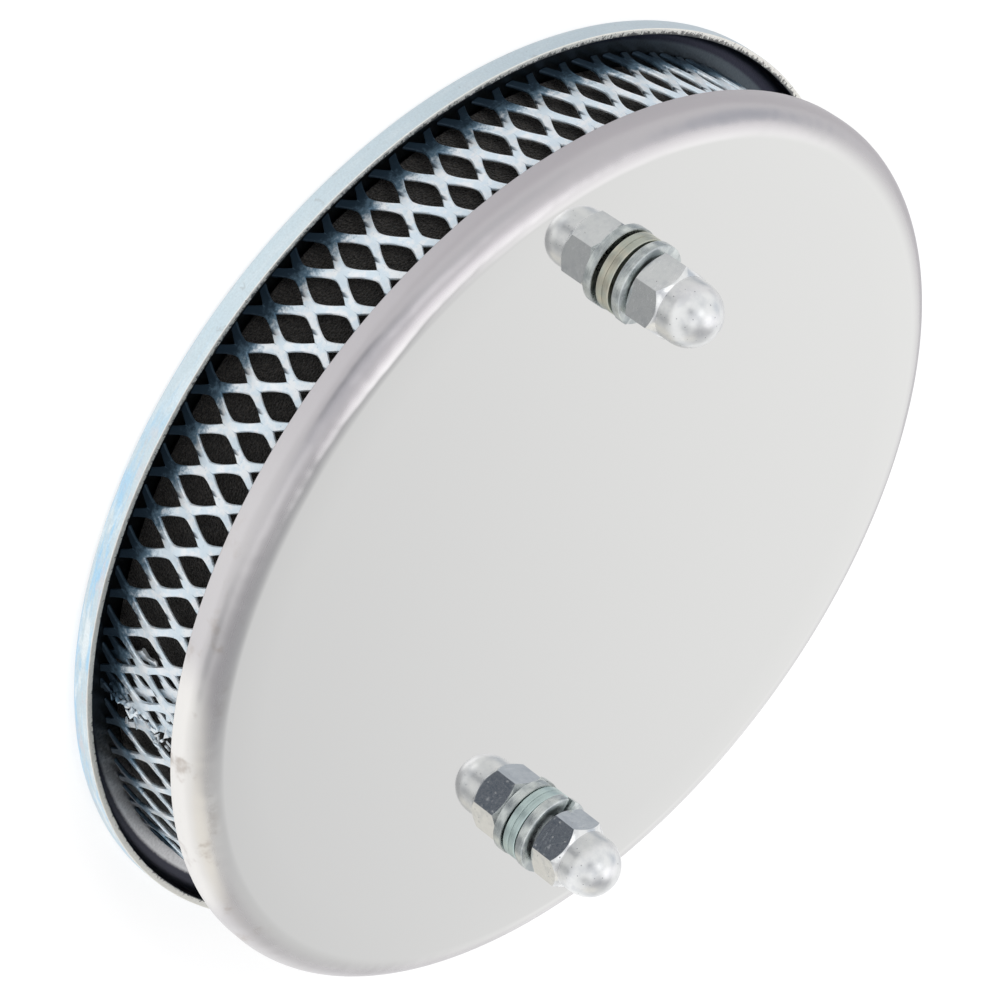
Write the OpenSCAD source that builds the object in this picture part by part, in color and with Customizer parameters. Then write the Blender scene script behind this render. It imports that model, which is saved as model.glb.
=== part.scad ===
// Round carburettor air filter: a pressed back plate and a pressed cover hold a ring of foam
// behind a band of expanded metal. Two studs, closed by dome nuts, clamp the cover on tubes.
// The back plate lies on z = 0 and the cover faces +Z. The studs stand on the X axis.

/* [Housing] */
// Height from the back of the plate to the face of the cover
housing_h = 25.2; // [20:0.2:45]
// Outer diameter of the pressed cover
cover_d = 144; // [138:1:180]
// Thickness of the cover's sheet
cover_t = 0.8; // [0.6:0.1:1.2]
// Depth of the cover's turned-down rim
cover_depth = 5.4; // [4.6:0.2:8]
// Outside radius of the cover's bend
cover_bend = 3.2; // [1.6:0.2:4]
// How far the back plate's rim stands outside the cover's
plate_overhang = 1.4; // [0:0.1:3]
// Thickness of the back plate's sheet
plate_t = 1; // [0.8:0.1:1.6]
// Height of the back plate's upturned rim
plate_depth = 4; // [3.2:0.2:7]
// Outside radius of the back plate's bend
plate_bend = 3; // [1.7:0.1:3.1]

/* [Intake] */
// Diameter of the hole for the carburettor's mouth
intake_d = 44; // [30:0.5:48]
// Height of the drawn collar inside the intake hole
collar_h = 5; // [4:0.5:8]
// Outside radius of the collar's bend
collar_bend = 2; // [1.7:0.1:2.5]
// Distance between the two flange bolt holes
flange_spacing = 63.5; // [62:0.5:72]
// Diameter of the flange bolt holes
flange_hole_d = 8.4; // [6:0.2:9]

/* [Studs and fasteners] */
// Distance from the cover's edge to the axis of each stud
stud_edge = 23; // [22.5:0.5:26]
// Diameter of the stud's thread
stud_d = 6; // [5:0.5:6.5]
// Clearance round the stud in the tubes, the cover and the washers
stud_clear = 0.25; // [0.15:0.05:0.4]
// Clearance of the stud's crests in the nut
thread_clear = 0.05; // [0.03:0.01:0.1]
// Thickness of the stud's weld flange
stud_flange_t = 1; // [0.6:0.1:1.5]
// Wall of the spacer tubes
tube_wall = 1; // [0.8:0.1:1.2]
// Outer diameter of the flat washers
flat_washer_d = 12; // [10.5:0.5:14]
// Thickness of the flat washers
flat_washer_t = 1.2; // [0.8:0.1:1.8]
// Outer diameter of the spring washers
spring_washer_d = 12.4; // [11:0.2:13]
// Thickness of the spring washers' wire
spring_washer_t = 1.6; // [1.2:0.1:2]
// Rise of the spring washers from end to end
spring_washer_rise = 0.9; // [0.4:0.1:2]
// Angle left open between the ends of a spring washer
spring_washer_gap = 8; // [6:1:20]
// Width across the flats of the dome nuts
nut_flats = 10; // [9:0.5:13]
// Height of the hexagon of the dome nuts
nut_hex_h = 5.5; // [4:0.25:7]
// Full height of the dome nuts
nut_h = 12; // [11:0.5:15]
// Diameter of the dome
nut_dome_d = 9.5; // [8.5:0.25:10]
// Depth of the thread in the dome nuts
nut_bore_depth = 8; // [6.5:0.25:8.5]
// How far the studs reach into the nuts
stud_reach = 6.5; // [5:0.25:6.5]
// Height and depth of the chamfer at the studs' tips
stud_chamfer = 0.75; // [0.5:0.05:1]
// Diameter of the nuts' flat face inside the corner bevels
nut_face_d = 9.3; // [9:0.1:9.8]
// Slope of the nuts' shoulder between the hexagon and the dome
nut_shoulder = 45; // [30:1:50]
// Direction of a corner of each dome nut
nut_turn = [51, 15]; // [0:1:60]
// Direction of the opening of each spring washer
split_turn = [141, -29]; // [-180:1:180]

/* [Expanded metal] */
// Gap between the raised mesh and the inside of the cover's rim
mesh_inset = 2.4; // [1.4:0.1:4]
// Thickness of the mesh's sheet
mesh_t = 0.8; // [0.5:0.1:1]
// How far the edges of the strands are turned out of the sheet
mesh_raise = 0.3; // [0.2:0.05:0.7]
// Cells in one full turn of the strip
cells_round = 67.65; // [56:0.05:80]
// Height of one cell, from bond to bond
cell_h = 10.5; // [9:0.25:14]
// Height of the bonds between two openings
bond_h = 2.75; // [2:0.25:3.5]
// Width of an opening
opening_w = 3.7; // [2.8:0.1:4.2]
// Half the height of the blunt side of an opening
opening_blunt = 0.85; // [0.4:0.05:1.2]
// Height of the first row's centre above the bottom edge
first_row = 3.05; // [2.6:0.05:3.4]
// Direction in which the strip begins
seam_turn = 82.4; // [0:0.1:360]
// Cells by which the strip's end overlaps its beginning
overlap_cells = 3; // [1:1:4]
// Clearance between the two layers of the overlap
layer_clear = 0.2; // [0.15:0.05:0.4]
// Angle over which the strip climbs into and out of the overlap
seam_ramp = 30; // [20:1:60]

/* [Filter element] */
// Clearance between the foam and the lowest strand of the mesh
foam_clear = 0.35; // [0.25:0.05:1]
// Thickness of the foam ring
foam_t = 11; // [8:0.5:11]
// Thickness of the inner screen's sheet
screen_t = 0.8; // [0.5:0.1:1]
// Clearance between the foam and the inner screen
screen_clear = 0.4; // [0.25:0.05:0.6]
// Openings round the inner screen
screen_cells = 40; // [24:1:44]
// Rows of openings in the inner screen
screen_rows = 3; // [2:1:3]
// Width of metal left between the screen's openings
screen_web = 2; // [1.6:0.1:3]
// Play of the foam, mesh and screen between plate and cover
end_play = 0.15; // [0.05:0.05:0.3]

/* [Hidden] */
$fn = 96;
eps = 0.01;
slant = 30;

cover_r = cover_d / 2;
plate_r = cover_r + plate_overhang;
inside_z0 = plate_t;
inside_z1 = housing_h - cover_t;
ring_z0 = inside_z0 + end_play;
ring_z1 = inside_z1 - end_play;
ring_h = ring_z1 - ring_z0;

stud_x = [cover_r - stud_edge, stud_edge - cover_r];
stud_r = stud_d / 2;
stud_hole_r = stud_r + stud_clear;
tube_r = stud_hole_r + tube_wall;
spring_z = housing_h + flat_washer_t;
nut_z = spring_z + spring_washer_t + spring_washer_rise;
stud_top = nut_z + stud_reach;

// The strip's middle surface, lifted and lowered where its ends lie over each other
mesh_reach = mesh_t / 2 + mesh_raise;
layer_lift = mesh_reach + layer_clear / 2;
mesh_r = cover_r - cover_t - mesh_inset - mesh_reach;
foam_r = mesh_r - layer_lift - mesh_reach - foam_clear;
foam_hole_r = foam_r - foam_t;
screen_r = foam_hole_r - screen_clear;

// One row of openings for each half cell of height. The bottom edge cuts the first row and the
// notches below it, and the top edge cuts the last row where its openings are widest.
half_turn = 180 / cells_round;
half_w = mesh_r * PI / cells_round;
rows_h = ring_h + opening_blunt - first_row;
rows = round(rows_h / (cell_h / 2));
half_h = rows_h / rows;
tip_h = half_h - bond_h / 2;
last_col = 2 * floor(cells_round) + 2 * overlap_cells + 1;
side_w = opening_w / 2;
strip_turn = last_col * half_turn;
rows_per_col = ceil((rows + 2) / 2);

// Corners of an opening, counterclockwise from the bottom
BOTTOM_L = 0;
BOTTOM_R = BOTTOM_L + 1;
RIGHT_LOW = BOTTOM_R + 1;
RIGHT_HIGH = RIGHT_LOW + 1;
TOP = RIGHT_HIGH + 1;
LEFT_HIGH = TOP + 1;
LEFT_LOW = LEFT_HIGH + 1;

function is_opening(col, row) = (col + row + 2) % 2 == 0;
function width_at(dz) = side_w * (tip_h - dz) / (tip_h - opening_blunt);
function row_z(row) = ring_z0 + first_row + row * half_h;

// Place of a corner on the unrolled strip, as [distance from the column's line, height]
function corner(row, c) =
    c == TOP ? [0, row_z(row) + tip_h] :
    c == BOTTOM_L && row > 0 ? [0, row_z(row) - tip_h] :
    c == BOTTOM_L ? [-width_at(first_row), ring_z0] :
    c == BOTTOM_R ? [width_at(first_row), ring_z0] :
    c == RIGHT_HIGH && row < 0 ? [width_at(half_h - first_row), ring_z0] :
    c == LEFT_HIGH && row < 0 ? [-width_at(half_h - first_row), ring_z0] :
    c == RIGHT_HIGH ? [side_w, row_z(row) + opening_blunt] :
    c == RIGHT_LOW ? [side_w, row_z(row) - opening_blunt] :
    c == LEFT_HIGH ? [-side_w, row_z(row) + opening_blunt] :
    [-side_w, row_z(row) - opening_blunt];

function ease(x) = x * x * (3 - 2 * x);

// Lift of the strip's middle surface at an angle from its beginning
function lift(turn) =
    turn <= strip_turn - 360 ? -layer_lift :
    turn < strip_turn - 360 + seam_ramp ?
        -layer_lift * ease(1 - (turn - strip_turn + 360) / seam_ramp) :
    turn >= 360 ? layer_lift :
    turn > 360 - seam_ramp ? layer_lift * ease((turn - 360 + seam_ramp) / seam_ramp) :
    0;

// A corner as a point in space, on the outer face (side = 1) or the inner face (side = -1)
function mesh_point(col, row, c, side) =
    let (
        p = corner(row, c),
        turn = col * half_turn + p[0] / half_w * half_turn,
        r = mesh_r + lift(turn) + mesh_raise * p[0] / side_w + side * mesh_t / 2
    )
    [r * cos(seam_turn + turn), r * sin(seam_turn + turn), p[1]];

function corner_id(col, row, c) =
    (col * rows_per_col + floor((row + 1) / 2)) * 7 + (c == BOTTOM_R && row != 0 ? BOTTOM_L : c);

// Metal between the openings, each patch clockwise as seen from outside
mesh_patches = [
    for (col = [0 : last_col - 1]) for (row = [-1 : rows - 1]) if (is_opening(col, row)) [
        corner_id(col, row, RIGHT_HIGH), corner_id(col, row, TOP),
        corner_id(col + 1, row + 1, LEFT_LOW), corner_id(col + 1, row + 1, BOTTOM_L)
    ],
    for (col = [0 : last_col - 1]) for (row = [0 : rows]) if (is_opening(col, row)) [
        corner_id(col, row, BOTTOM_R), corner_id(col, row, RIGHT_LOW),
        corner_id(col + 1, row - 1, TOP), corner_id(col + 1, row - 1, LEFT_HIGH)
    ],
    for (col = [0 : last_col]) for (row = [0 : rows - 1]) if (!is_opening(col, row)) concat(
        [corner_id(col, row + 1, BOTTOM_L)],
        col < last_col ? [corner_id(col + 1, row, LEFT_HIGH), corner_id(col + 1, row, LEFT_LOW)] : [],
        [corner_id(col, row - 1, TOP)],
        col > 0 ? [corner_id(col - 1, row, RIGHT_LOW), corner_id(col - 1, row, RIGHT_HIGH)] : []
    ),
    for (col = [1 : last_col - 1]) if (!is_opening(col, rows)) [
        corner_id(col + 1, rows, LEFT_LOW), corner_id(col, rows - 1, TOP),
        corner_id(col - 1, rows, RIGHT_LOW)
    ]
];

// Free edges of those patches: round the openings, along the two cuts and at the strip's ends
function opening_edges(col, row) = [
    for (side = [
        [BOTTOM_R, RIGHT_LOW, col < last_col && row >= 0],
        [RIGHT_LOW, RIGHT_HIGH, col < last_col && row >= 0 && row < rows],
        [RIGHT_HIGH, TOP, col < last_col && row < rows],
        [TOP, LEFT_HIGH, col > 0 && row < rows],
        [LEFT_HIGH, LEFT_LOW, col > 0 && row >= 0 && row < rows],
        [LEFT_LOW, BOTTOM_L, col > 0 && row >= 0]
    ]) if (side[2]) [corner_id(col, row, side[0]), corner_id(col, row, side[1])]
];
mesh_edges = [
    for (col = [0 : last_col]) for (row = [-1 : rows]) if (is_opening(col, row))
        each opening_edges(col, row),
    for (col = [0 : last_col - 1]) is_opening(col, 0) ?
        [corner_id(col + 1, -1, LEFT_HIGH), corner_id(col, 0, BOTTOM_R)] :
        [corner_id(col + 1, 0, BOTTOM_L), corner_id(col, -1, RIGHT_HIGH)],
    for (col = [1 : last_col - 1]) if (!is_opening(col, rows))
        [corner_id(col - 1, rows, RIGHT_LOW), corner_id(col + 1, rows, LEFT_LOW)],
    for (row = [0 : rows - 1]) if (!is_opening(0, row))
        [corner_id(0, row - 1, TOP), corner_id(0, row + 1, BOTTOM_L)],
    for (row = [0 : rows - 1]) if (!is_opening(last_col, row))
        [corner_id(last_col, row + 1, BOTTOM_L), corner_id(last_col, row - 1, TOP)],
    if (!is_opening(0, rows))
        [corner_id(0, rows - 1, TOP), corner_id(1, rows, LEFT_LOW)],
    if (!is_opening(last_col, rows))
        [corner_id(last_col - 1, rows, RIGHT_LOW), corner_id(last_col, rows - 1, TOP)]
];

// A flat block of revolution's section: a rectangle from the axis with its outer top corner rounded
module rim_section(r, z0, z1, bend) {
    translate([0, z0]) square([r - bend, z1 - z0]);
    translate([0, z0]) square([r, z1 - z0 - bend]);
    intersection() {
        translate([r - bend, z1 - bend]) circle(bend);
        translate([r - bend, z1 - bend]) square(bend);
    }
}

module stud_places() {
    for (x = stud_x) translate([x, 0, 0]) children();
}

module back_plate() {
    bend_x = intake_d / 2 + collar_bend;
    color("lightblue") difference() {
        rotate_extrude() {
            difference() {
                translate([0, plate_depth]) mirror([0, 1]) rim_section(plate_r, 0, plate_depth, plate_bend);
                translate([0, plate_depth + eps]) mirror([0, 1])
                    rim_section(plate_r - plate_t, 0, plate_depth + eps - plate_t, plate_bend - plate_t);
                translate([0, -eps]) square([bend_x, plate_depth]);
            }
            translate([intake_d / 2, collar_bend]) square([plate_t, collar_h - collar_bend]);
            difference() {
                intersection() {
                    translate([bend_x, collar_bend]) circle(collar_bend);
                    translate([intake_d / 2, 0]) square(collar_bend);
                }
                translate([bend_x, collar_bend]) circle(collar_bend - plate_t);
            }
        }
        for (y = [-1, 1] * flange_spacing / 2)
            translate([0, y, -eps]) cylinder(d = flange_hole_d, h = plate_t + 2 * eps);
    }
}

module front_cover() {
    rear = housing_h - cover_depth;
    color("gainsboro") difference() {
        rotate_extrude() difference() {
            rim_section(cover_r, rear, housing_h, cover_bend);
            rim_section(cover_r - cover_t, rear - eps, inside_z1, cover_bend - cover_t);
        }
        stud_places() translate([0, 0, inside_z1 - eps]) cylinder(r = stud_hole_r, h = cover_t + 2 * eps);
    }
}

module outer_mesh() {
    points = [
        for (side = [1, -1]) for (col = [0 : last_col]) for (k = [0 : rows_per_col - 1])
            for (c = [BOTTOM_L : LEFT_LOW]) mesh_point(col, 2 * k - col % 2, c, side)
    ];
    inner = len(points) / 2;
    faces = [
        for (p = mesh_patches) for (i = [1 : len(p) - 2]) each [
            [p[0], p[i], p[i + 1]],
            [p[0] + inner, p[i + 1] + inner, p[i] + inner]
        ],
        for (e = mesh_edges) each [
            [e[1], e[0], e[0] + inner],
            [e[1], e[0] + inner, e[1] + inner]
        ]
    ];
    color("lightsteelblue") polyhedron(points = points, faces = faces, convexity = 12);
}

// Plain ring between two heights
module ring(r_out, r_in, z0, z1) {
    translate([0, 0, z0]) difference() {
        cylinder(r = r_out, h = z1 - z0);
        translate([0, 0, -eps]) cylinder(r = r_in, h = z1 - z0 + 2 * eps);
    }
}

module foam_element() {
    color("darkslategray") ring(foam_r, foam_hole_r, ring_z0, ring_z1);
}

module inner_screen() {
    turn = 360 / screen_cells;
    hole_w = 2 * PI * screen_r / screen_cells - screen_web;
    hole_h = ring_h / screen_rows - screen_web;
    color("lightsteelblue") difference() {
        ring(screen_r, screen_r - screen_t, ring_z0, ring_z1);
        for (row = [0 : screen_rows - 1]) for (i = [0 : screen_cells - 1])
            rotate(turn * (i + row % 2 / 2))
                translate([screen_r - 2 * screen_t, 0, ring_z0 + ring_h * (row + 0.5) / screen_rows])
                rotate([90, 0, 90]) linear_extrude(3 * screen_t)
                polygon([[hole_w / 2, 0], [0, hole_h / 2], [-hole_w / 2, 0], [0, -hole_h / 2]]);
    }
}

module stud(side) {
    color("silver") translate([stud_x[side], 0, inside_z0]) {
        cylinder(r = tube_r, h = stud_flange_t);
        cylinder(r = stud_r, h = stud_top - inside_z0 - stud_chamfer);
        translate([0, 0, stud_top - inside_z0 - stud_chamfer])
            cylinder(r1 = stud_r, r2 = stud_r - stud_chamfer, h = stud_chamfer);
    }
}

module spacer_tube(side) {
    color("silver") translate([stud_x[side], 0, 0])
        ring(tube_r, stud_hole_r, inside_z0 + stud_flange_t, inside_z1);
}

module flat_washer(side) {
    color("darkseagreen") translate([stud_x[side], 0, 0])
        ring(flat_washer_d / 2, stud_hole_r, housing_h, spring_z);
}

// One turn of square wire, its ends cut square and drawn apart
module spring_washer(side) {
    steps = 36;
    turn = (360 - spring_washer_gap) / steps;
    section = [
        [stud_hole_r, 0], [spring_washer_d / 2, 0],
        [spring_washer_d / 2, spring_washer_t], [stud_hole_r, spring_washer_t]
    ];
    points = [
        for (i = [0 : steps]) for (p = section)
            [p[0] * cos(i * turn), p[0] * sin(i * turn), p[1] + spring_washer_rise * i / steps]
    ];
    faces = concat(
        [[0, 1, 2, 3], [4 * steps + 3, 4 * steps + 2, 4 * steps + 1, 4 * steps]],
        [
            for (i = [0 : steps - 1]) for (k = [0 : 3])
                [4 * i + k, 4 * i + 4 + k, 4 * i + 4 + (k + 1) % 4, 4 * i + (k + 1) % 4]
        ]
    );
    color("darkgray") translate([stud_x[side], 0, spring_z])
        rotate(split_turn[side] + spring_washer_gap / 2)
        polyhedron(points = points, faces = faces, convexity = 4);
}

module dome_nut(side) {
    corner_r = nut_flats / 2 / cos(30);
    face_r = nut_face_d / 2;
    bevel_h = (corner_r - face_r + eps) * tan(slant);
    shoulder_r = nut_dome_d / 2 + eps;
    shoulder_h = (corner_r - shoulder_r + eps) * tan(nut_shoulder);
    bore_r = stud_r + thread_clear;
    mouth_r = stud_hole_r + thread_clear;
    color("whitesmoke") translate([stud_x[side], 0, nut_z]) difference() {
        union() {
            intersection() {
                rotate(nut_turn[side]) cylinder(r = corner_r, h = nut_hex_h, $fn = 6);
                rotate_extrude() polygon([
                    [0, 0], [face_r, 0], [corner_r + eps, bevel_h],
                    [corner_r + eps, nut_hex_h - shoulder_h], [shoulder_r, nut_hex_h], [0, nut_hex_h]
                ]);
            }
            translate([0, 0, nut_hex_h - eps])
                cylinder(d = nut_dome_d, h = nut_h - nut_dome_d / 2 - nut_hex_h + eps);
            translate([0, 0, nut_h - nut_dome_d / 2]) sphere(d = nut_dome_d);
        }
        translate([0, 0, -eps]) cylinder(r = bore_r, h = nut_bore_depth + eps);
        translate([0, 0, nut_bore_depth - eps]) cylinder(r1 = bore_r, r2 = 0, h = bore_r * tan(slant));
        translate([0, 0, -eps]) cylinder(r1 = mouth_r, r2 = bore_r, h = mouth_r - bore_r + eps);
    }
}

back_plate();
front_cover();
outer_mesh();
foam_element();
inner_screen();
stud(0);  // stud_a
stud(1);  // stud_b
spacer_tube(0);  // spacer_tube_a
spacer_tube(1);  // spacer_tube_b
flat_washer(0);  // flat_washer_a
flat_washer(1);  // flat_washer_b
spring_washer(0);  // spring_washer_a
spring_washer(1);  // spring_washer_b
dome_nut(0);  // dome_nut_a
dome_nut(1);  // dome_nut_b
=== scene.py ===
import math

import bmesh
import bpy
import numpy as np
from mathutils import Matrix, Vector


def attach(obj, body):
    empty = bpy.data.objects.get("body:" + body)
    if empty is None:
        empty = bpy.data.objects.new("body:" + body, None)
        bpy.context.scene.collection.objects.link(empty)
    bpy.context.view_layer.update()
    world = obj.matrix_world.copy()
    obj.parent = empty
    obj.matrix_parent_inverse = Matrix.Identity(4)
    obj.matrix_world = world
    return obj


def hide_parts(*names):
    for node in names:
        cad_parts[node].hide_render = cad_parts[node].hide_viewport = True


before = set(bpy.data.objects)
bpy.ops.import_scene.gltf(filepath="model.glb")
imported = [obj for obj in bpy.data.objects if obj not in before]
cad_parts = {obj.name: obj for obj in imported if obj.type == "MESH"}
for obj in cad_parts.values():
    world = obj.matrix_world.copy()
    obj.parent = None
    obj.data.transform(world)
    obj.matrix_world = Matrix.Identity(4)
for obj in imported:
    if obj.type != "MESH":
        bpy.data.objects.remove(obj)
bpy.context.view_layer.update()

mm = 0.001
scene = bpy.context.scene
print("frame loaded, nodes", len(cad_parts))


# Shader and geometry graphs

def fill(tree, socket, value):
    if isinstance(value, Sock):
        tree.links.new(value.socket, socket)
    elif hasattr(value, "__len__") and socket.type == "RGBA" and len(value) == 3:
        socket.default_value = (*value, 1)
    else:
        socket.default_value = value


def isWide(value):
    if isinstance(value, Sock):
        return value.socket.type in ("RGBA", "VECTOR")
    return hasattr(value, "__len__")


# An output socket with arithmetic: numbers go through Math, colours and vectors through Vector Math
class Sock:
    def __init__(self, tree, socket):
        self.tree, self.socket = tree, socket

    def node(self, kind, inputs, output=0, **settings):
        made = self.tree.nodes.new(kind)
        for key, value in settings.items():
            setattr(made, key, value)
        for key, value in inputs.items():
            fill(self.tree, made.inputs[key], value)
        return Sock(self.tree, made.outputs[output])

    def calc(self, operation, a, b):
        if isWide(a) or isWide(b):
            a, b = [x if isWide(x) or isinstance(x, Sock) else (x, x, x) for x in (a, b)]
            return self.node("ShaderNodeVectorMath", {0: a, 1: b}, operation=operation)
        return self.node("ShaderNodeMath", {0: a, 1: b}, operation=operation)

    def __add__(self, other):
        return self.calc("ADD", self, other)

    def __radd__(self, other):
        return self.calc("ADD", other, self)

    def __sub__(self, other):
        return self.calc("SUBTRACT", self, other)

    def __rsub__(self, other):
        return self.calc("SUBTRACT", other, self)

    def __mul__(self, other):
        return self.calc("MULTIPLY", self, other)

    def __rmul__(self, other):
        return self.calc("MULTIPLY", other, self)

    def __truediv__(self, other):
        return self.calc("DIVIDE", self, other)

    def __rtruediv__(self, other):
        return self.calc("DIVIDE", other, self)

    def atLeast(self, low):
        return self.calc("MAXIMUM", self, low)

    def floor(self):
        return self.node("ShaderNodeMath", {0: self}, operation="FLOOR")

    def dot(self, other):
        return self.node("ShaderNodeVectorMath", {0: self, 1: other}, "Value", operation="DOT_PRODUCT")

    def length(self):
        return self.node("ShaderNodeVectorMath", {0: self}, "Value", operation="LENGTH")

    def part(self, axis):
        return self.node("ShaderNodeSeparateXYZ", {0: self}, axis)

    # The distance from the Z axis
    def radius(self):
        return (self * (1, 1, 0)).length()

    # 0 at low and 1 at high, with soft ends
    def step(self, low, high):
        return self.node(
            "ShaderNodeMapRange", {"Value": self, "From Min": low, "From Max": high},
            interpolation_type="SMOOTHSTEP")

    # The value low where this is 0 and the value high where it is 1
    def blend(self, low, high):
        if isWide(low) or isWide(high):
            return self.node("ShaderNodeMix", {0: self, 6: low, 7: high}, 2, data_type="RGBA")
        return self.node("ShaderNodeMix", {0: self, 2: low, 3: high}, 0, data_type="FLOAT")

    def noise(self, detail, roughness, distortion=0.0):
        return self.node("ShaderNodeTexNoise", {
            "Vector": self, "Scale": 1.0, "Detail": detail, "Roughness": roughness,
            "Distortion": distortion})

    def cells(self, scale):
        return self.node("ShaderNodeTexVoronoi", {"Vector": self, "Scale": scale}, "Distance")

    # What a mesh attribute of this name holds
    def mark(self, name):
        return self.node("ShaderNodeAttribute", {}, "Fac", attribute_name=name)

    def bump(self, strength, distance):
        return self.node(
            "ShaderNodeBump", {"Strength": strength, "Distance": distance * mm, "Height": self}, "Normal")


def source(tree, kind, output):
    return Sock(tree, tree.nodes.new(kind).outputs[output])


# Rays from the camera, and rays that the metals mirror
def rayKinds(tree):
    path = tree.nodes.new("ShaderNodeLightPath")
    seen, glossy, through = [
        Sock(tree, path.outputs["Is " + kind + " Ray"]) for kind in ("Camera", "Glossy", "Transmission")]
    return seen, glossy + through


# A material whose varying inputs are made from the place in the row frame, in millimetres
def material(name, build):
    made = bpy.data.materials.new(name)
    made.use_nodes = True
    tree = made.node_tree
    shader = tree.nodes["Principled BSDF"]
    place = source(tree, "ShaderNodeTexCoord", "Object") * 1000
    for key, value in build(place).items():
        fill(tree, shader.inputs[key], value)
    return made


# Materials. In the looks, a pair of numbers is where a step begins and ends, in millimetres

# The rim's darker mauve and lighter side greys are painted reflection of the surroundings; the smudges are
# the cover's own
polishLook = {
    "face": (0.775, 0.775, 0.765), "rim": (0.585, 0.570, 0.580), "side": (0.79, 0.775, 0.755),
    "mauveReflection": (0.50, 0.482, 0.50), "smudge": (0.43, 0.38, 0.34), "inner": (0.50, 0.50, 0.49),
    "faceRough": 0.035, "rimRough": 0.31, "innerRough": 0.36, "leftward": (-0.2, 0.98, 0),
    "rimAt": (67.2, 70.4), "sideReflectionAt": (66.5, 69.5), "reflectionTurns": (40, 60), "smudgeAt": (52, 66),
    "bendRadius": 67, "bendWide": 4.6, "bendLow": 21.3, "bendTall": 3.5,
}


def polish(at):
    look = polishLook
    radius = at.radius()
    rim = radius.step(*look["rimAt"])
    turned = at.dot(look["leftward"])
    smudge = (at * (0.13, 0.13, 0.16)).noise(4, 0.65).step(0.52, 0.70) * turned.step(*look["smudgeAt"])
    # Painted reflection: the rim and skirt are painted darker mauve-grey on one side and lighter towards
    # the leftward side
    skirtReflection = turned.step(*look["reflectionTurns"]).blend(look["mauveReflection"], look["rim"])
    skirtReflection = turned.step(*look["sideReflectionAt"]).blend(skirtReflection, look["side"])
    colour = rim.blend(look["face"], (smudge * 0.75).blend(skirtReflection, look["smudge"]))
    # The sheet's inner side isn't polished: it lies within the middle line of the bend
    across = (radius - look["bendRadius"]).atLeast(0) / look["bendWide"]
    above = (at.part("Z") - look["bendLow"]).atLeast(0) / look["bendTall"]
    inner = 1 - (across * across + above * above).step(0.97, 1.03)
    fine = (at * 1.7).noise(4, 0.6)
    rough = rim.blend(look["faceRough"], look["rimRough"]) + (fine - 0.5) * 0.02
    waves = (at * (0.06, 0.06, 0.03)).noise(3, 0.55)
    return {
        "Base Color": inner.blend(colour, look["inner"]), "Metallic": 1.0,
        "Roughness": inner.blend(rough, look["innerRough"]),
        "Normal": ((waves - 0.5) * rim).bump(0.6, 1.2),
    }


# The shade and navy colours are painted shade inside the tray and on the ring; the whitish edge is partly
# painted highlight
zincLook = {
    "pale": (0.60, 0.70, 0.75), "blue": (0.42, 0.66, 0.85), "white": (0.80, 0.86, 0.88),
    "rose": (0.70, 0.66, 0.68), "blot": (0.40, 0.43, 0.44), "inside": (0.74, 0.74, 0.75),
    "shade": (0.08, 0.10, 0.12), "navyShade": (0.020, 0.021, 0.042), "edge": (0.91, 0.90, 0.85),
    "grit": (0.22, 0.22, 0.22), "rough": 0.34, "leftward": (-0.2, 0.98, 0), "leftAt": (40, 70),
    "floorAt": (0.5, 0.9), "wallAt": (72.45, 72.6), "shadeAt": (14, 30), "shadeBandAt": (69.9, 70.5),
    "edgeHigh": (3.80, 3.97), "edgeAt": (72.2, 72.5), "edgeRadius": 72.95,
}


def trayZinc(at):
    look = zincLook
    streaks = (at * (0.09, 0.09, 0.75)).noise(4, 0.66, 0.4)
    others = (at * (0.11, 0.11, 0.6) + (9, 4, 2)).noise(4, 0.62, 0.3)
    blots = (at * 0.32).noise(4, 0.65)
    grain = (at * 3.2).noise(3, 0.6)
    grit = (at * 1.9).noise(4, 0.7)
    radius = at.radius()
    left = at.dot(look["leftward"]).step(*look["leftAt"])
    colour = (streaks.step(0.44, 0.62) * left).blend(look["pale"], look["blue"])
    colour = (others.step(0.48, 0.66) * (0.2 + left * 0.65)).blend(colour, look["white"])
    colour = (others.step(0.44, 0.34) * left * 0.6).blend(colour, look["rose"])
    colour = (blots.step(0.60, 0.70) * (1 - left) * 0.5).blend(colour, look["blot"])
    # The side that faces the foam: its floor, painted dark except towards -X, and a dark band over the bend
    # and the wall; both are painted shade
    floor = at.part("Z").step(*look["floorAt"]) * (1 - radius.step(*look["wallAt"]))
    deep = ((grit - 0.5) * 9 - at.part("X")).step(*look["shadeAt"])
    shadeBand = (radius + (grit - 0.5) * 0.6).step(*look["shadeBandAt"])
    colour = floor.blend(colour, deep.blend(look["shade"], look["inside"]) * (0.6 + grit * 0.8))
    colour = (shadeBand * floor * 0.96).blend(colour, look["navyShade"])
    # The cut edge is whitish, partly its own colour and partly painted highlight, whiter towards the
    # leftward side, with grit in specks
    edge = at.part("Z").step(*look["edgeHigh"]) * radius.step(*look["edgeAt"])
    edgeGrit = (grit + (look["edgeRadius"] - radius) * 0.35 - left * 0.16).step(0.50, 0.60)
    colour = edge.blend(colour, edgeGrit.blend(look["edge"], look["grit"]))
    return {
        "Base Color": colour * (0.84 + grain * 0.32), "Metallic": 1.0,
        "Roughness": look["rough"] + (grain - 0.5) * 0.25 + edge * 0.2,
        "Normal": (grain + grit * edge).bump(0.35, 0.08),
    }


# Steel and navy are painted shade near the plate, in the folds and along the slits; bright is painted light
# at the seam
meshLook = {
    "pale": (0.76, 0.87, 0.95), "white": (0.92, 0.96, 0.99), "speck": (0.34, 0.48, 0.60),
    "steel": (0.17, 0.28, 0.38), "navyShade": (0.028, 0.052, 0.078), "bright": (0.93, 0.97, 1.0),
    "metal": 0.5, "rough": 0.40, "steelShadeAt": (5.2, 7.6), "navyShadeAt": (3.2, 6.2), "seamLightAt": (4.0, 7.0),
    "seamward": (0.12, 0.99, 0), "seamAt": (64.5, 67), "outerAt": (67.6, 68.1),
}


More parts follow.
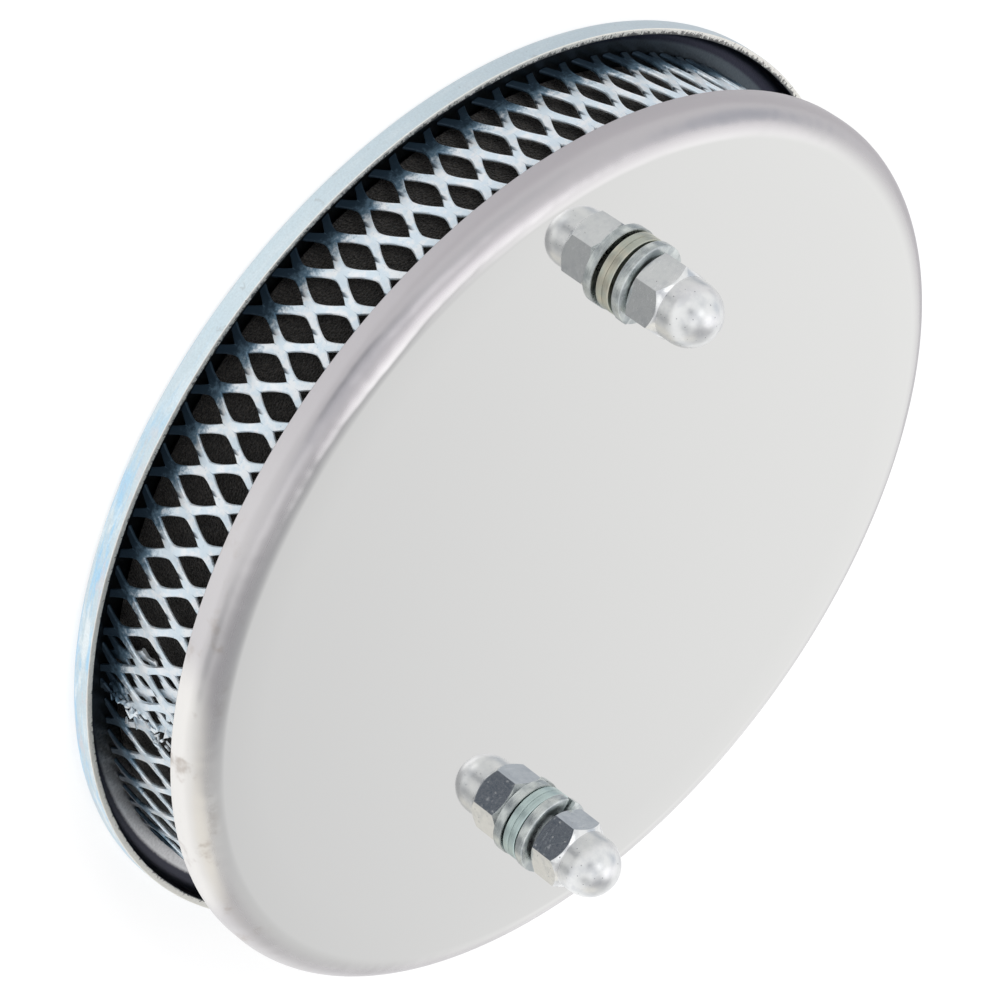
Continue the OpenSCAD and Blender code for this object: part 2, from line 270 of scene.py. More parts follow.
def meshZinc(at):
    look = meshLook
    grain = (at * 1.7).noise(4, 0.66)
    blots = (at * 0.55).noise(4, 0.62)
    # Near the plate the ring is darker: painted shade and painted reflection of the dark plate
    height = at.part("Z") + (grain - 0.5) * 4.5 + (blots - 0.5) * 3.5
    colour = blots.step(0.42, 0.62).blend(look["pale"], look["white"])
    colour = (grain.step(0.60, 0.72) * 0.4).blend(colour, look["speck"])
    colour = (1 - height.step(*look["steelShadeAt"])).blend(colour, look["steel"])
    colour = (1 - height.step(*look["navyShadeAt"])).blend(colour, look["navyShade"])
    # Painted light: the inner layer at the seam is painted brighter, as if it caught the light
    seamLight = at.dot(look["seamward"]).step(*look["seamAt"]) * (1 - at.radius().step(*look["outerAt"]))
    colour = (seamLight * height.step(*look["seamLightAt"]) * 0.8).blend(colour, look["bright"])
    # Painted shade in the creases where the strands fold
    colour = (at.mark("foldShade").step(0.2, 0.8) * 0.9).blend(colour, look["navyShade"])
    # Painted shade along the slits at the bonds
    colour = (at.mark("slitShade").step(0.55, 1.0) * 0.45).blend(colour, look["steel"])
    return {
        "Base Color": colour, "Metallic": look["metal"], "Roughness": look["rough"] + (grain - 0.5) * 0.3,
        "Normal": (grain + blots).bump(0.4, 0.10),
    }


foamLook = {"dark": (0.012, 0.011, 0.010), "fleck": (0.068, 0.060, 0.053), "pores": 2.9}


def foamSkin(at):
    look = foamLook
    pores = at.cells(look["pores"])
    fibre = (at * 2.8).noise(4, 0.72)
    fleck = fibre.step(0.40, 0.70) * pores.step(0.05, 0.50)
    return {
        "Base Color": fleck.blend(look["dark"], look["fleck"]), "Roughness": 0.95,
        "Specular IOR Level": 0.15, "Sheen Weight": 0.12, "Sheen Roughness": 0.6,
        "Normal": (pores + fibre).bump(0.9, 0.5),
    }


nutLook = {
    "bright": (0.80, 0.81, 0.81), "dull": (0.58, 0.60, 0.63), "pit": (0.22, 0.23, 0.25),
    "scratch": (0.90, 0.91, 0.92), "rough": 0.11, "domeAt": (34.3, 34.6),
}


def nutZinc(at):
    look = nutLook
    cloud = (at * 0.55).noise(3, 0.6)
    grain = (at * 3.0).noise(4, 0.65)
    pit = 1 - (at * 0.9).cells(1.0).step(0.06, 0.12)
    dome = at.part("Z").step(*look["domeAt"])
    scratch = (at * (1.6, 0.35, 2.4)).noise(3, 0.5).step(0.56, 0.72) * (1 - dome)
    colour = (cloud.step(0.40, 0.68) * 0.45).blend(look["bright"], look["dull"])
    colour = (scratch * 0.35).blend(colour, look["scratch"])
    colour = (pit * 0.7).blend(colour, look["pit"])
    rough = look["rough"] + cloud * 0.08 + (grain - 0.5) * 0.12
    return {
        "Base Color": colour, "Metallic": 1.0, "Roughness": rough + dome * 0.17 + scratch * 0.07,
        "Normal": (grain * 0.25 - pit * 0.6).bump(0.35, 0.06),
    }


washerLook = {
    "green": (0.54, 0.57, 0.50), "yellow": (0.62, 0.60, 0.50), "blue": (0.58, 0.70, 0.69),
    "rough": 0.34, "blueAt": (-5, 5),
}


def washerZinc(at):
    look = washerLook
    cloud = (at * 0.35).noise(2, 0.5)
    lines = (at * (0.4, 0.4, 5.0)).noise(2, 0.5)
    grain = (at * 3.4).noise(3, 0.6)
    warm = cloud.step(0.4, 0.6).blend(look["green"], look["yellow"])
    colour = at.part("X").step(*look["blueAt"]).blend(look["blue"], warm)
    return {
        "Base Color": colour * (0.8 + lines * 0.35), "Metallic": 1.0,
        "Roughness": look["rough"] + (grain - 0.5) * 0.25,
        "Normal": (grain + lines).bump(0.3, 0.05),
    }


springLook = {"dark": (0.48, 0.52, 0.53), "pale": (0.72, 0.76, 0.75), "rough": 0.30}


def springZinc(at):
    look = springLook
    cloud = (at * 0.5).noise(3, 0.55)
    lines = (at * (0.5, 0.5, 4.5)).noise(3, 0.6)
    return {
        "Base Color": cloud.step(0.38, 0.66).blend(look["dark"], look["pale"]) * (0.72 + lines * 0.5),
        "Metallic": 1.0, "Roughness": look["rough"] + (lines - 0.5) * 0.3,
        "Normal": lines.bump(0.4, 0.06),
    }


steelLook = {"dark": (0.52, 0.53, 0.54), "pale": (0.62, 0.63, 0.64), "rough": 0.32}


def plainSteel(at):
    look = steelLook
    grain = (at * 2.4).noise(3, 0.6)
    return {
        "Base Color": grain.step(0.3, 0.7).blend(look["dark"], look["pale"]), "Metallic": 1.0,
        "Roughness": look["rough"] + (grain - 0.5) * 0.2,
        "Normal": grain.bump(0.25, 0.05),
    }


looks = {
    "polish": material("polishedSteel", polish), "tray": material("zincPlate", trayZinc),
    "mesh": material("zincMesh", meshZinc), "foam": material("foam", foamSkin),
    "nut": material("brightZinc", nutZinc), "washer": material("washerZinc", washerZinc),
    "spring": material("springSteel", springZinc), "steel": material("studSteel", plainSteel),
}
print("materials made", len(looks))


# Shapes

def added(name, data):
    made = bpy.data.objects.new(name, data)
    scene.collection.objects.link(made)
    return made


def dressed(mesh, look):
    mesh.materials.clear()
    mesh.materials.append(looks[look])


def place(name, mesh, look, slotName, stands):
    made = added(name, mesh)
    dressed(mesh, look)
    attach(made, "root")
    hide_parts(*stands)
    return made


def smooth(mesh, sharp):
    mesh.shade_smooth()
    mesh.set_sharp_from_angle(angle=math.radians(sharp))


def meshFrom(name, points, faces, sharp=35):
    mesh = bpy.data.meshes.new(name)
    mesh.from_pydata([tuple(p) for p in points], [], faces)
    mesh.validate()
    smooth(mesh, sharp)
    return mesh


# A closed outline of (radius, height, corner rounding) as (radius, height) points
def rounded(corners):
    fewest, most = 4, 16
    points = []
    count = len(corners)
    for i, (r, z, bend) in enumerate(corners):
        here = Vector((r, z))
        if not bend:
            points.append((r, z))
            continue
        back = Vector(corners[i - 1][:2]) - here
        ahead = Vector(corners[(i + 1) % count][:2]) - here
        half = back.angle(ahead) / 2
        run = min(bend / math.tan(half), back.length * 0.49, ahead.length * 0.49)
        radius = run * math.tan(half)
        middle = here + (back.normalized() + ahead.normalized()).normalized() * (radius / math.sin(half))
        first = here + back.normalized() * run - middle
        last = here + ahead.normalized() * run - middle
        turn = first.angle_signed(last)
        wanted = int(abs(math.degrees(turn)) / 90 * fewest * (1 + radius))
        parts = min(max(fewest, wanted), most)
        for k in range(parts + 1):
            spun = Matrix.Rotation(-turn * k / parts, 2) @ first
            points.append((middle.x + spun.x, middle.y + spun.y))
    return points


# The outline turned about the Z axis, at an offset, in metres
def lathe(outline, segments, at=(0, 0)):
    area = sum(a[0] * b[1] - b[0] * a[1] for a, b in zip(outline, outline[1:] + outline[:1]))
    outline = outline if area > 0 else outline[::-1]
    turns = np.arange(segments) * 2 * math.pi / segments
    points, faces = [], []
    for r, z in outline:
        for turn in turns:
            points.append(((at[0] + r * math.cos(turn)) * mm, (at[1] + r * math.sin(turn)) * mm, z * mm))
    rings = len(outline)
    for i in range(rings):
        j = (i + 1) % rings
        for k in range(segments):
            n = (k + 1) % segments
            faces.append((i * segments + k, i * segments + n, j * segments + n, j * segments + k))
    return points, faces


def solidOfTurn(name, outline, segments, at=(0, 0), sharp=35):
    return meshFrom(name, *lathe(outline, segments, at), sharp=sharp)


def evaluated(body):
    return bpy.data.meshes.new_from_object(body.evaluated_get(bpy.context.evaluated_depsgraph_get()))


# One mesh cut by, joined to or met with others
def combine(name, first, others, sharp):
    body = added("work", first)
    tools = []
    for operation, mesh in others:
        tool = added("tool", mesh)
        change = body.modifiers.new("cut", "BOOLEAN")
        change.operation, change.object, change.solver = operation, tool, "EXACT"
        tools.append(tool)
    made = evaluated(body)
    for extra in [body, *tools]:
        bpy.data.objects.remove(extra)
    made.name = name
    smooth(made, sharp)
    return made


# One mesh after one modifier
def changed(mesh, kind, **settings):
    work = added("work", mesh)
    change = work.modifiers.new("change", kind)
    for key, value in settings.items():
        setattr(change, key, value)
    made = evaluated(work)
    bpy.data.objects.remove(work)
    return made


# The faces between one ring of points and the next, for rows + 1 rings of the same count
def bands(count, rows):
    faces = []
    for i in range(rows):
        for k in range(count):
            n = (k + 1) % count
            faces.append((i * count + k, (i + 1) * count + k, (i + 1) * count + n, i * count + n))
    return faces


def rod(radius, low, high, at):
    segments = 64
    turns = [2 * math.pi * k / segments for k in range(segments)]
    points = [
        ((at[0] + radius * math.cos(t)) * mm, (at[1] + radius * math.sin(t)) * mm, z * mm)
        for z in (low, high) for t in turns]
    faces = [tuple(reversed(range(segments))), tuple(range(segments, 2 * segments))]
    faces += [(k, (k + 1) % segments, segments + (k + 1) % segments, segments + k) for k in range(segments)]
    return meshFrom("rod", points, faces)


cover = {
    "radius": 72.0, "face": 25.2, "sheet": 0.8, "depth": 5.4, "bendWide": 5.0, "bendTall": 3.9,
    "edge": 0.16, "flat": 60.0, "studX": 49.0, "holeRadius": 3.25, "segments": 288,
}


def frontCover():
    c = cover
    low = c["face"] - c["depth"]
    inner = c["radius"] - c["sheet"]
    inside = c["face"] - c["sheet"]

    def bend(radius, top, thick):
        wide, tall = c["bendWide"] - thick, c["bendTall"] - thick
        return [
            (radius - wide + wide * math.sin(t), top - tall + tall * math.cos(t), 0)
            for t in np.linspace(0, math.pi / 2, 22)]
    outline = rounded([
        (c["flat"], c["face"], 0), *bend(c["radius"], c["face"], 0), (c["radius"], low, c["edge"]),
        (inner, low, c["edge"]), *bend(inner, inside, c["sheet"])[::-1], (c["flat"], inside, 0)])
    points, faces = lathe(outline, c["segments"])
    # The two flat discs close the ring, so the wall between them is left out
    flats = {i for i, p in enumerate(points) if math.hypot(p[0], p[1]) < (c["flat"] + 0.01) * mm}
    faces = [f for f in faces if not all(i in flats for i in f)]
    ordered = sorted(flats, key=lambda i: i % c["segments"])
    middle = (c["face"] - c["sheet"] / 2) * mm
    faces.append(tuple(i for i in ordered if points[i][2] > middle))
    faces.append(tuple(i for i in reversed(ordered) if points[i][2] < middle))
    body = meshFrom("cover", points, faces)
    holes = [
        ("DIFFERENCE", rod(c["holeRadius"], inside - 1, c["face"] + 1, (side * c["studX"], 0)))
        for side in (1, -1)]
    mesh = combine("polishedCover", body, holes, sharp=50)
    place("polishedCover", mesh, "polish", "polished_cover", ["front_cover"])


frontCover()
print("cover made")

tray = {
    "radius": 73.4, "sheet": 1.0, "depth": 4.0, "bend": 3.0, "edge": 0.18, "intake": 22.0,
    "collar": 5.0, "collarBend": 2.0, "flangeY": 31.75, "flangeRadius": 4.2, "segments": 288,
}


def zincTray():
    c = tray
    inner = c["radius"] - c["sheet"]
    mouth = c["intake"] + c["sheet"]
    outline = rounded([
        (c["intake"], 0, c["collarBend"]), (c["radius"], 0, c["bend"]),
        (c["radius"], c["depth"], c["edge"]), (inner, c["depth"], c["edge"]),
        (inner, c["sheet"], c["bend"] - c["sheet"]),
        (mouth, c["sheet"], c["collarBend"] - c["sheet"]), (mouth, c["collar"], c["edge"]),
        (c["intake"], c["collar"], c["edge"])])
    holes = [
        ("DIFFERENCE", rod(c["flangeRadius"], -1, c["sheet"] + 1, (0, side * c["flangeY"])))
        for side in (1, -1)]
    mesh = combine("zincTray", solidOfTurn("tray", outline, c["segments"]), holes, sharp=50)
    place("zincTray", mesh, "tray", "zinc_plate", ["back_plate"])


zincTray()
print("tray made")

foam = {"outer": 66.25, "inner": 55.25, "low": 1.15, "high": 24.25, "edge": 0.5, "grid": 1.2}


def foamRing():
    c = foam
    outline = rounded([
        (c["inner"], c["low"], c["edge"]), (c["outer"], c["low"], c["edge"]),
        (c["outer"], c["high"], c["edge"]), (c["inner"], c["high"], c["edge"])])
    full = []
    for a, b in zip(outline, outline[1:] + outline[:1]):
        parts = max(1, round(math.dist(a, b) / c["grid"]))
        full += [(a[0] + (b[0] - a[0]) * k / parts, a[1] + (b[1] - a[1]) * k / parts) for k in range(parts)]
    mesh = solidOfTurn("filterFoam", full, 360, sharp=180)
    made = place("filterFoam", mesh, "foam", "filter_foam", ["foam_element"])


foamRing()
print("foam made")

# Expanded metal: one opening's share of the sheet, repeated and cut flat, then rolled up.
# The values first and last are the half cells that are cut off at the strip's ends
mesh = {
    "radius": 68.1, "sheet": 0.54, "raise": 0.14, "cells": 67.65, "halfHeight": 5.225, "firstRow": 4.2,
    "openingHalf": 1.97, "tipHalf": 3.96, "shape": 1.45, "round": 0.16, "columns": 142, "rows": 3,
    "low": 1.15, "high": 24.0, "start": 82.4, "lift": 0.34, "ramp": 30.0, "dip": 0.05,
    "first": 1.7, "last": 0.3, "tearReach": 1.6, "tearAlong": 0.9, "tearOut": 0.5, "bits": 44,
    "bitHalf": 0.12,
}
mesh["halfWidth"] = mesh["radius"] * math.pi / mesh["cells"]


# How far a point on a strand's middle line stands out of the sheet, from one bond to the next
def strandOffset(t):
    return float(np.interp(t, [0, 0.277, 0.723, 1], [0, 0.67, -0.67, 0])) * mesh["raise"]


# The fold where the rising strand leaves the bond above it
def foldDepth(t):
    depth = np.interp(t, [0, 0.32, 0.56, 0.68, 0.723, 0.8, 1], [0, 0, 0.7, 1, 0, -0.4, 0])
    return -float(depth) * mesh["dip"]


def openingTile():
    c = mesh
    quarter = [0, 0.10, 0.20, 0.277, 0.32, 0.44, 0.56, 0.68, 0.723, 0.80, 0.90]
    ring = [(t, 1, 1) for t in quarter] + [(1 - t, -1, 1) for t in quarter]
    ring += [(t, -1, -1) for t in quarter] + [(1 - t, 1, -1) for t in quarter]
    half, soft = c["sheet"] / 2, c["round"]
    points, foldShades, slitShades = [], [], []
    for level, grow, height in (
            ("edge", 0, half), ("eye", soft, half), ("eye", 0, half - soft),
            ("eye", 0, soft - half), ("eye", soft, -half), ("edge", 0, -half)):
        for t, sideX, sideY in ring:
            if level == "edge":
                x, y = c["halfWidth"] * (1 - t), c["halfHeight"] * t
                out = strandOffset(t) * sideX
            else:
                x = c["openingHalf"] * (1 - t ** c["shape"]) * (1 + grow / c["openingHalf"])
                y = c["tipHalf"] * t * (1 + grow / c["tipHalf"])
                out = c["raise"] * sideX * (1 - t)
            # The fold is deep at one side of the strand and runs out at its other side
            along = (t if sideX < 0 else 1 - t) if sideX != sideY else 0
            share = 0.5 if level == "edge" else 1.0 if sideX < 0 else 0.0
            out += foldDepth(along) * share
            # The crease is where painted shade goes, on the sheet's outer side only
            creaseShade = float(np.interp(along, [0.44, 0.56, 0.68, 0.723, 0.8], [0, 0.75, 1, 0.3, 0]))
            foldShades.append(share * creaseShade if height > 0 else 0.0)
            slitShades.append(1.0 if t > 0.99 else 0.0)
            points.append((x * sideX * mm, y * sideY * mm, (out + height) * mm))
    tile = bpy.data.meshes.new("tile")
    tile.from_pydata(points, [], bands(len(ring), 5))
    tile.attributes.new("foldShade", "FLOAT", "POINT").data.foreach_set("value", foldShades)
    tile.attributes.new("slitShade", "FLOAT", "POINT").data.foreach_set("value", slitShades)
    return tile


def repeatTree():
    tree = bpy.data.node_groups.new("expandedSheet", "GeometryNodeTree")
    face = tree.interface
    face.new_socket("Tile", in_out="INPUT", socket_type="NodeSocketGeometry")
    for name, kind in (
            ("Columns", "Int"), ("Rows", "Int"), ("Half Width", "Float"), ("Half Height", "Float"),
            ("First Height", "Float"), ("Material", "Material")):
        face.new_socket(name, in_out="INPUT", socket_type="NodeSocket" + kind)
    face.new_socket("Sheet", in_out="OUTPUT", socket_type="NodeSocketGeometry")
    given = tree.nodes.new("NodeGroupInput")
    get = {s.name: Sock(tree, s) for s in given.outputs if s.name}
    first = get["Columns"]
    index = first.node("GeometryNodeInputIndex", {})
    column = (index / get["Rows"]).floor()
    row = index - column * get["Rows"]
    odd = column - 2 * (column / 2).floor()
    height = get["First Height"] + (2 * row - odd) * get["Half Height"]
    spot = first.node("ShaderNodeCombineXYZ", {"X": column * get["Half Width"], "Y": height})
    spots = first.node("GeometryNodePoints", {"Count": get["Columns"] * get["Rows"], "Position": spot})
    copies = first.node("GeometryNodeInstanceOnPoints", {"Points": spots, "Instance": get["Tile"]})
    solid = first.node("GeometryNodeRealizeInstances", {"Geometry": copies})
    joined = first.node("GeometryNodeMergeByDistance", {"Geometry": solid, "Distance": 0.02 * mm})
    painted = first.node("GeometryNodeSetMaterial", {"Geometry": joined, "Material": get["Material"]})
    result = tree.nodes.new("NodeGroupOutput")
    tree.links.new(painted.socket, result.inputs["Sheet"])
    return tree


# The strip rolled into a ring: where it overlaps, its end stands out and its start stands in
def rolledUp(points):
    c = mesh
    turn = points[:, 0] / (c["halfWidth"] * mm) * 180 / c["cells"]
    whole = (c["columns"] - 1) * 180 / c["cells"]

    def ease(x):
        x = np.clip(x, 0, 1)
        return x * x * (3 - 2 * x)
    lift = ease((turn - 360 + c["ramp"]) / c["ramp"]) - ease(1 - (turn - whole + 360) / c["ramp"])
    radius = (c["radius"] + lift * c["lift"]) * mm + points[:, 2]
    angle = np.radians(c["start"] + turn)
    return np.column_stack([radius * np.cos(angle), radius * np.sin(angle), points[:, 1]])


# The two ends of the strip are torn: the metal near them is shifted unevenly
def torn(points, first, last):
    c = mesh
    height = points[:, 1] / mm
    ragged = 0.55 * np.sin(height * 2.1 + 0.3) + 0.45 * np.sin(height * 4.7 + 1.7)
    bent = 0.6 * np.sin(height * 1.3 + 1.1) + 0.4 * np.sin(height * 3.9)
    for end in (first, last):
        near = np.clip(1 - np.abs(points[:, 0] - end) / (c["tearReach"] * mm), 0, 1)
        points[:, 0] += near * ragged * c["tearAlong"] * mm
        points[:, 2] += near * bent * c["tearOut"] * mm
    return points


# Broken ends and scraps of strand left at the seam
def addBits(sheet, end):
    c = mesh
    random = np.random.default_rng(11)
    work = bmesh.new()
    work.from_mesh(sheet)
    for i in range(c["bits"]):
        size = random.uniform(0.35, 1.15) * mm
        count = int(random.integers(4, 7))
        turns = np.sort(random.uniform(0, 2 * math.pi, count))
        reach = size * random.uniform(0.35, 1.0, count)
        tilt = random.uniform(-0.5, 0.5, 2)
        x = end + random.normal(-0.8, 1.5) * mm
        y = random.uniform(c["low"] + 1.2, c["high"] - 2.5) * mm
        low, high = [], []
        half = c["bitHalf"] * mm
        for turn, r in zip(turns, reach):
            a, b = r * math.cos(turn), 1.5 * r * math.sin(turn)
            out = a * tilt[0] + b * tilt[1]
            low.append((x + a, y + b, out - half))
            high.append((x + a, y + b, out + half))
        bottom = [work.verts.new(p) for p in rolledUp(np.array(low))]
        top = [work.verts.new(p) for p in rolledUp(np.array(high))]
        work.faces.new(top)
        work.faces.new(bottom[::-1])
        for k in range(count):
            n = (k + 1) % count
            work.faces.new((bottom[k], bottom[n], top[n], top[k]))
    bmesh.ops.recalc_face_normals(work, faces=work.faces)
    work.to_mesh(sheet)
    work.free()


def expandedMesh():
    c = mesh
    work = added("sheet", openingTile())
    change = work.modifiers.new("repeat", "NODES")
    tree = repeatTree()
    change.node_group = tree
    values = {
        "Columns": c["columns"], "Rows": c["rows"], "Half Width": c["halfWidth"] * mm,
        "Half Height": c["halfHeight"] * mm, "First Height": c["firstRow"] * mm, "Material": looks["mesh"]}
    for item in tree.interface.items_tree:
        if item.in_out == "INPUT" and item.name in values:
            change[item.identifier] = values[item.name]
    work.data.update()
    sheet = evaluated(work)
    bpy.data.objects.remove(work)
    cut = bmesh.new()
    cut.from_mesh(sheet)
    whole = (c["columns"] - 1) * c["halfWidth"] * mm
    start = c["first"] * c["halfWidth"] * mm
    stop = whole - c["last"] * c["halfWidth"] * mm
    for where, facing in (
            ((0, c["low"] * mm, 0), (0, -1, 0)), ((0, c["high"] * mm, 0), (0, 1, 0)),
            ((start, 0, 0), (-1, 0.10, 0)), ((stop, 0, 0), (1, 0.04, 0))):
        bmesh.ops.bisect_plane(
            cut, geom=cut.verts[:] + cut.edges[:] + cut.faces[:], plane_co=where, plane_no=facing,
            clear_outer=True)
        bmesh.ops.holes_fill(cut, edges=[e for e in cut.edges if e.is_boundary], sides=0)
    bmesh.ops.recalc_face_normals(cut, faces=cut.faces)
    cut.to_mesh(sheet)
    cut.free()
    flat = np.zeros(len(sheet.vertices) * 3)
    sheet.vertices.foreach_get("co", flat)
    flat = torn(flat.reshape(-1, 3), start, stop)
    sheet.vertices.foreach_set("co", rolledUp(flat).ravel())
    addBits(sheet, whole)
    sheet.update()
    smooth(sheet, 38)
    return place("expandedMesh", sheet, "mesh", "zinc_mesh", ["outer_mesh"])


print("mesh made, faces", len(expandedMesh().data.polygons))

nut = {
    "base": 28.9, "flats": 10.0, "hexHeight": 5.5, "height": 12.0, "domeRadius": 4.75, "face": 4.65,
    "boreRadius": 3.05, "boreDepth": 8.0, "turns": (51, 15), "studX": (49.0, -49.0), "soft": 0.14,
    "chamfer": 30, "beyond": 0.2, "axis": 0.001,
}


def domeNut(side):
    c = nut
    at = (c["studX"][side], 0)
    base, top, bore = c["base"], c["base"] + c["hexHeight"], c["boreRadius"]
    corner = c["flats"] / 2 / math.cos(math.radians(30))
    wide = corner + c["beyond"]
    slope = (wide - c["face"]) * math.tan(math.radians(c["chamfer"]))
    turns = [math.radians(c["turns"][side] + 60 * k) for k in range(6)]
    points = [
        ((at[0] + corner * math.cos(t)) * mm, corner * math.sin(t) * mm, z * mm)
        for z in (base, top) for t in turns]
    faces = [(5, 4, 3, 2, 1, 0), (6, 7, 8, 9, 10, 11)]
    faces += [(k, (k + 1) % 6, 6 + (k + 1) % 6, 6 + k) for k in range(6)]
    hexagon = meshFrom("hexagon", points, faces)
    # Turned outlines stop just short of the axis, so that no face there has zero width
    bevels = solidOfTurn("bevels", [
        (c["axis"], base - 1), (c["face"], base - 0.0001), (wide, base + slope),
        (wide, top - (wide - c["domeRadius"])), (c["domeRadius"], top), (c["axis"], top + 0.4)], 96, at)
    centre = base + c["height"] - c["domeRadius"]
    outline = [(c["axis"], top - 1), (c["domeRadius"], top - 1)]
    outline += [
        (c["domeRadius"] * math.cos(a), centre + c["domeRadius"] * math.sin(a))
        for a in np.linspace(0, math.pi / 2 - 0.0005, 24)]
    dome = solidOfTurn("dome", outline, 96, at, sharp=60)
    deep = base + c["boreDepth"]
    hollow = solidOfTurn("bore", [
        (c["axis"], base - 1), (bore + 0.3, base - 0.05), (bore, base + 0.25), (bore, deep),
        (c["axis"], deep + 1.6)], 64, at)
    name = "domeNut" + "AB"[side]
    solid = combine(name, hexagon, [("INTERSECT", bevels)], sharp=20)
    soft = changed(
        solid, "BEVEL", width=c["soft"] * mm, segments=2, limit_method="ANGLE",
        angle_limit=math.radians(18))
    mesh = combine(name, soft, [("UNION", dome), ("DIFFERENCE", hollow)], sharp=32)
    # Weighted normals keep the flats plain beside their softened edges
    mesh = changed(mesh, "WEIGHTED_NORMAL", weight=100, keep_sharp=True)
    mesh.name = name
    place(name, mesh, "nut", "bright_nut", ["dome_nut_" + "ab"[side]])


washer = {"outer": 6.0, "inner": 3.25, "low": 25.2, "high": 26.4, "edge": 0.16}


def flatWasher(side):
    c = washer
    outline = rounded([
        (c["inner"], c["low"], 0.1), (c["outer"], c["low"], 0.08),
        (c["outer"], c["high"], c["edge"]), (c["inner"], c["high"], 0.1)])
    name = "flatWasher" + "AB"[side]
    mesh = solidOfTurn(name, outline, 128, (nut["studX"][side], 0))
    place(name, mesh, "washer", "zinc_washer", ["flat_washer_" + "ab"[side]])


spring = {
    "outer": 6.2, "inner": 3.25, "low": 26.4, "wire": 1.6, "rise": 0.9, "gap": 5.0,
    "splits": (141, -29), "edge": 0.2, "steps": 120,
}


def springWasher(side):
    c = spring
    section = rounded([
        (c["inner"], 0, c["edge"]), (c["outer"], 0, c["edge"]),
        (c["outer"], c["wire"], c["edge"]), (c["inner"], c["wire"], c["edge"])])
    start = math.radians(c["splits"][side] + c["gap"] / 2)
    whole = math.radians(360 - c["gap"])
    points = []
    count, steps = len(section), c["steps"]
    for i in range(steps + 1):
        turn = start + whole * i / steps
        for r, z in section:
            x = nut["studX"][side] + r * math.cos(turn)
            height = c["low"] + z + c["rise"] * i / steps
            points.append((x * mm, r * math.sin(turn) * mm, height * mm))
    faces = bands(count, steps)
    faces.append(tuple(range(count)))
    faces.append(tuple(reversed(range(steps * count, (steps + 1) * count))))
    name = "springWasher" + "AB"[side]
    place(name, meshFrom(name, points, faces), "spring", "spring_steel", ["spring_washer_" + "ab"[side]])


for side in (0, 1):
    domeNut(side)
    flatWasher(side)
    springWasher(side)
print("fasteners made")

for node, look, slotName in (
        ("inner_screen", "mesh", "inner_zinc"), ("stud_a", "steel", "stud_steel"),
        ("stud_b", "steel", "stud_steel"), ("spacer_tube_a", "steel", "stud_steel"),
        ("spacer_tube_b", "steel", "stud_steel")):
    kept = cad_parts[node]
    dressed(kept.data, look)
    smooth(kept.data, 30)
print("CAD pieces dressed")


# Camera, floor and light

# The camera stands at a direction and distance from the point it aims at, turned about its own axis
view = {
    "azimuth": 46.2600, "height": 32.3475, "distance": 0.71028, "aim": (0.005147, 0.005407, 0.0126),
    "roll": 126.1772, "lens": 180.33, "sensor": 36,
}


def toward(azimuth, height):
    a, h = math.radians(azimuth), math.radians(height)
    return (math.cos(h) * math.cos(a), math.cos(h) * math.sin(a), math.sin(h))


# The placing of something that looks at a point from a direction and distance
def lookingAt(aim, azimuth, height, distance, roll=0):
    away = Vector(toward(azimuth, height))
    turned = away.to_track_quat("Z", "Y").to_matrix().to_4x4() @ Matrix.Rotation(math.radians(roll), 4, "Z")
    return Matrix.Translation(Vector(aim) + away * distance) @ turned


def camera():
    data = bpy.data.cameras.new("camera")
    data.lens, data.sensor_width = view["lens"], view["sensor"]
    data.clip_start, data.clip_end = 0.01, 20
    made = added("camera", data)
    made.matrix_world = lookingAt(
        view["aim"], view["azimuth"], view["height"], view["distance"], view["roll"])
    scene.camera = made


# What the metals mirror: soft boxes and dark flags, each with its direction, where it begins to fade
# and where it ends in degrees, and its colour
studio = {
    "plain": (0.75, 0.75, 0.75), "mirrored": (1.0, 1.0, 1.0),
    "patches": [
        (180, 52, 10, 46, (0.47, 0.47, 0.485)),
        (-168, 27, 2, 27, (0.74, 0.74, 0.74)),
        (-96, 72, 8, 22, (1.5, 1.48, 1.5)),
        (-104, 44, 6, 20, (1.15, 1.13, 1.15)),
        (-76, 28, 6, 18, (0.62, 0.66, 0.72)),
        (-8, 34, 9, 20, (0.86, 0.87, 0.88)),
        (46, 54, 10, 30, (0.76, 0.77, 0.80)),
        (44, 32, 7, 10, (0.09, 0.11, 0.145)),
        (114, 32, 9, 16, (0.48, 0.49, 0.50)),
        (164, 26, 8, 20, (0.98, 0.95, 0.89)),
        (10, 58, 5, 14, (1.6, 1.6, 1.6)),
        (84, 58, 5, 14, (1.25, 1.25, 1.25)),
    ],
}


def surroundings():
    world = bpy.data.worlds.new("studio")
    scene.world = world
    world.use_nodes = True
    world.cycles.sampling_method = "NONE"
    tree = world.node_tree
    direction = source(tree, "ShaderNodeTexCoord", "Generated")
    seen, mirrored = rayKinds(tree)
    level = mirrored.blend(studio["plain"], studio["mirrored"])
    for azimuth, height, inner, outer, value in studio["patches"]:
        limits = [math.cos(math.radians(spread)) for spread in (outer, inner)]
        level = direction.dot(toward(azimuth, height)).step(*limits).blend(level, value)
    fill(tree, tree.nodes["Background"].inputs["Color"], seen.blend(level, (1, 1, 1)))


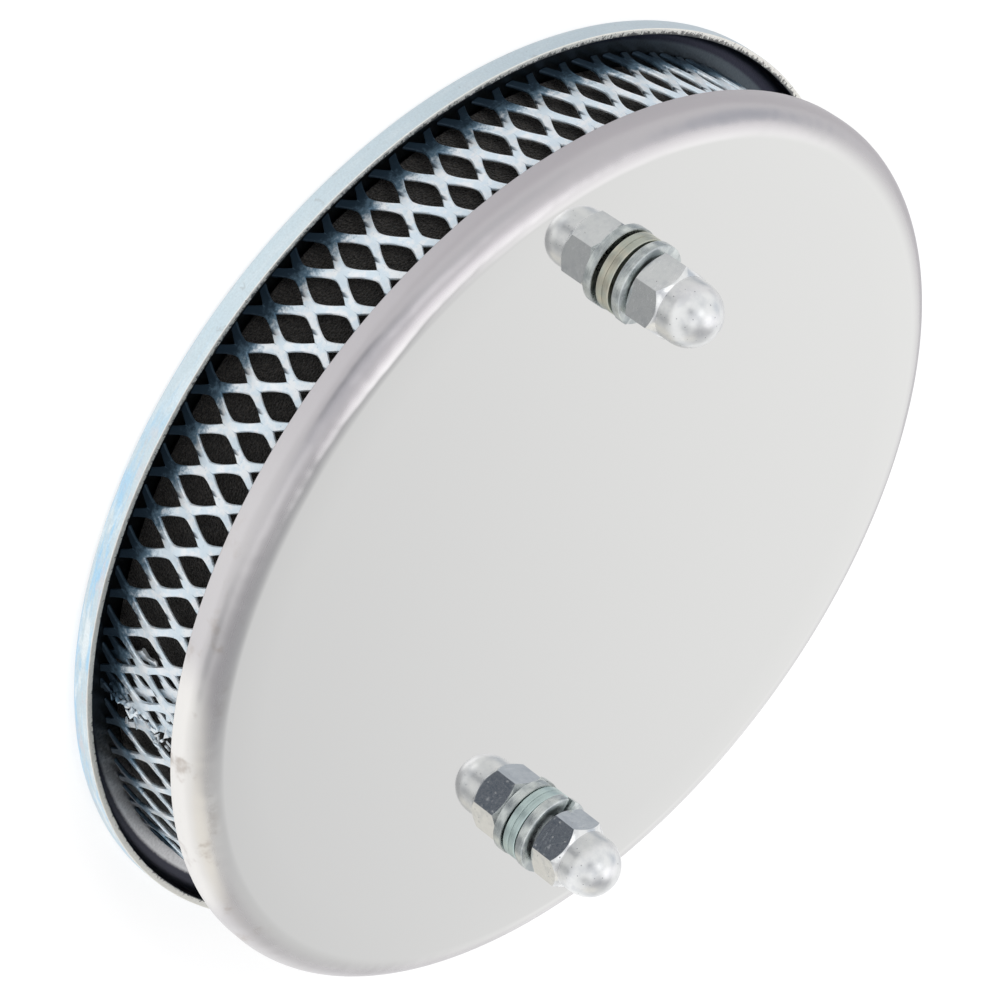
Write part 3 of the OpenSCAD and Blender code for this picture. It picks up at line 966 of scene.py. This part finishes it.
ground = {
    "half": 3.0, "colour": (0.36, 0.36, 0.36), "shown": (0.70, 0.70, 0.70), "dim": (0.42, 0.41, 0.42),
    "dimFrom": 10.0, "dimTo": -110.0,
}


def groundPlane():
    half = ground["half"]
    corners = [(-half, -half, 0), (half, -half, 0), (half, half, 0), (-half, half, 0)]
    data = bpy.data.meshes.new("floor")
    data.from_pydata(corners, [], [(0, 1, 2, 3)])
    look = bpy.data.materials.new("paleFloor")
    look.use_nodes = True
    look.cycles.emission_sampling = "NONE"
    tree = look.node_tree
    seen, mirrored = rayKinds(tree)
    # In the metal the floor goes greyer towards one side
    at = source(tree, "ShaderNodeTexCoord", "Object") * 1000
    side = 1 - (at.part("Y") - at.part("X")).step(ground["dimTo"], ground["dimFrom"])
    shown = (mirrored * side).blend(ground["shown"], ground["dim"])
    shader = tree.nodes["Principled BSDF"]
    for key, value in (
            ("Base Color", ground["colour"]), ("Roughness", 1), ("Specular IOR Level", 0),
            ("Emission Strength", 1), ("Emission Color", (seen + mirrored).blend((0, 0, 0), shown))):
        fill(tree, shader.inputs[key], value)
    # From below the floor is clear, so that the plate and its intake can be seen
    below = source(tree, "ShaderNodeNewGeometry", "Backfacing")
    clear = source(tree, "ShaderNodeBsdfTransparent", "BSDF")
    surface = below.node("ShaderNodeMixShader", {0: below, 1: Sock(tree, shader.outputs["BSDF"]), 2: clear})
    fill(tree, tree.nodes["Material Output"].inputs["Surface"], surface)
    data.materials.append(look)
    added("floor", data)


# A round soft lamp that the metals don't mirror
def lamp(name, azimuth, height, distance, size, watts):
    data = bpy.data.lights.new(name, "AREA")
    data.shape, data.size, data.energy = "DISK", size, watts
    made = added(name, data)
    made.visible_glossy = False
    made.matrix_world = lookingAt((0, 0, 0), azimuth, height, distance)


camera()
surroundings()
groundPlane()
lamp("keyLamp", 5, 42, 0.9, 0.5, 3.0)
lamp("sideLamp", 120, 38, 0.9, 0.45, 1.5)
scene.view_settings.view_transform = "Standard"
print("camera, floor and light made")
